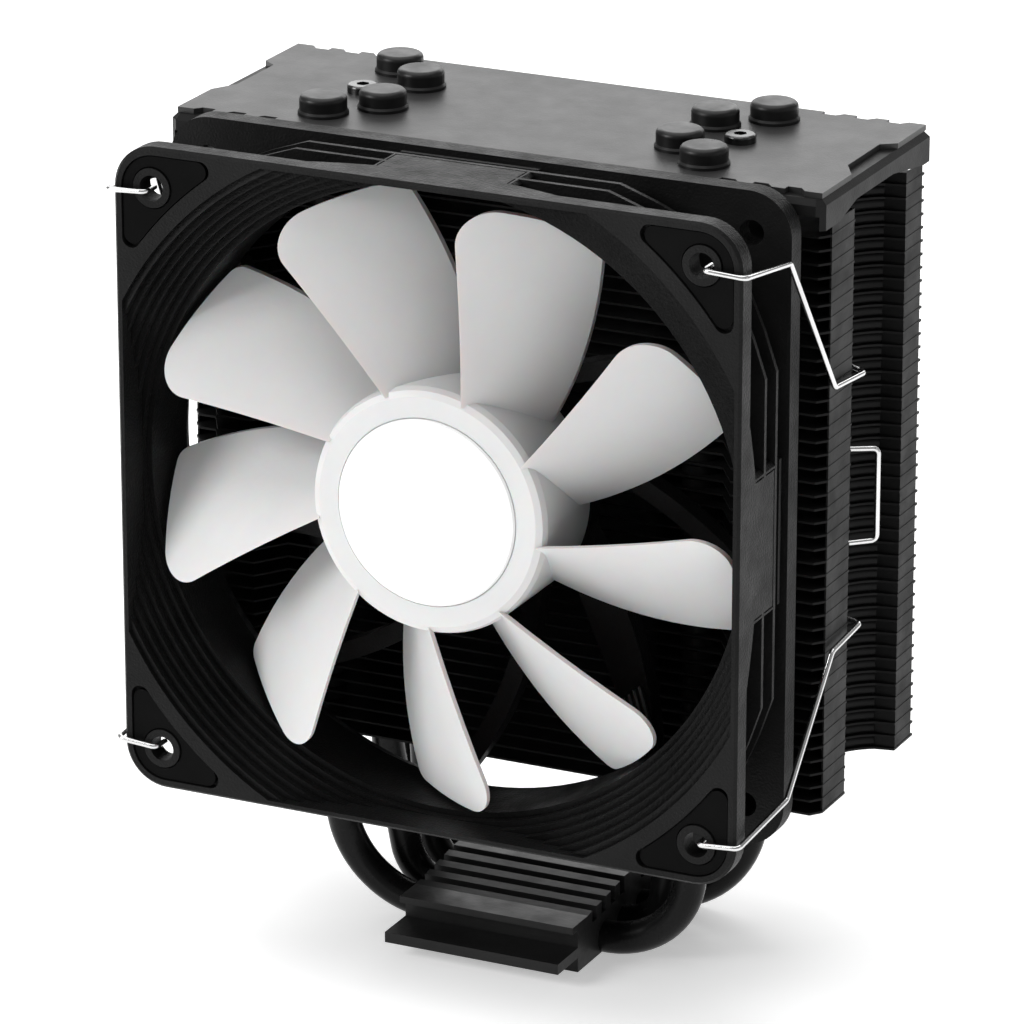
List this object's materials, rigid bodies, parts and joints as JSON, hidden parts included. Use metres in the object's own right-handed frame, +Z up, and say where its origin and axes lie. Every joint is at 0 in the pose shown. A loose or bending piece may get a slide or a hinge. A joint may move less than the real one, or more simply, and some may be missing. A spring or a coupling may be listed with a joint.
{
  "type": "cpu tower cooler",
  "caption": "Single-tower processor cooler: finned stack on U-bent heat pipes, grooved base block, and a square axial fan held in front by sprung wires.",
  "frame": {"origin": "centre of the base block's contact face, which sits on the processor", "axes": "+Z up from the contact face to the pipe caps; the fan is on the -Y side and blows towards +Y; +X is the right side seen from the fan"},
  "size_m": [0.13, 0.0846, 0.1562],
  "materials": {
    "aluminium_base": "machined, satin",
    "black_pipe": "black nickel, semi-gloss",
    "black_fin": "black coating, satin",
    "black_cover": "fine satin black",
    "cap_rubber": "smooth matte",
    "black_screw": "black, gloss",
    "fan_plastic": "fine texture, matte",
    "pad_rubber": "smooth matte",
    "bearing_brass": "sintered",
    "label_film": "plain film",
    "board": "circuit board",
    "core_steel": "laminated",
    "insulator_plastic": "natural nylon",
    "copper_wire": "enamelled copper",
    "white_plastic": "satin, slightly translucent white",
    "badge_plastic": "smooth white",
    "yoke_steel": "plated",
    "magnet": "bonded ferrite",
    "shaft_steel": "ground",
    "clip_steel": "polished spring wire"
  },
  "bodies": {
    "heatsink": {"base_block": "aluminium_base", "pipe_front_outer": "black_pipe", "pipe_front_inner": "black_pipe", "pipe_rear_inner": "black_pipe", "pipe_rear_outer": "black_pipe", "lower_fins": "black_fin", "upper_fins": "black_fin", "top_tray": "black_cover", "top_plate": "black_cover", "pipe_caps": "cap_rubber", "cover_screws": "black_screw"},
    "fan": {"fan_frame": "fan_plastic", "front_corner_pads": "pad_rubber", "rear_corner_pads": "pad_rubber", "sleeve_bearing": "bearing_brass", "bearing_plug": "fan_plastic", "rear_label": "label_film", "motor_board": "board", "stator_core": "core_steel", "insulator": "insulator_plastic", "windings": "copper_wire"},
    "rotor": {"impeller": "white_plastic", "hub_badge": "badge_plastic", "rotor_yoke": "yoke_steel", "magnet_ring": "magnet", "shaft": "shaft_steel", "shaft_retainer": "insulator_plastic"},
    "left_clip": {"left_clip": "clip_steel"},
    "right_clip": {"right_clip": "clip_steel"}
  },
  "joints": [
    {"name": "fan_height", "type": "slide", "parent": "heatsink", "child": "fan", "axis": [0, 0, 1], "range_m": [-0.005, 0.015]},
    {"name": "rotor_spin", "type": "hinge", "parent": "fan", "child": "rotor", "pos_m": [0, -0.051, 0.0938], "axis": [0, -1, 0], "continuous": true},
    {"name": "left_clip_swing", "type": "hinge", "parent": "fan", "child": "left_clip", "pos_m": [-0.0532, -0.0514, 0.0938], "axis": [0, 0, 1], "range_deg": [0, 16]},
    {"name": "right_clip_swing", "type": "hinge", "parent": "fan", "child": "right_clip", "pos_m": [0.0532, -0.0514, 0.0938], "axis": [0, 0, -1], "range_deg": [0, 16]}
  ]
}
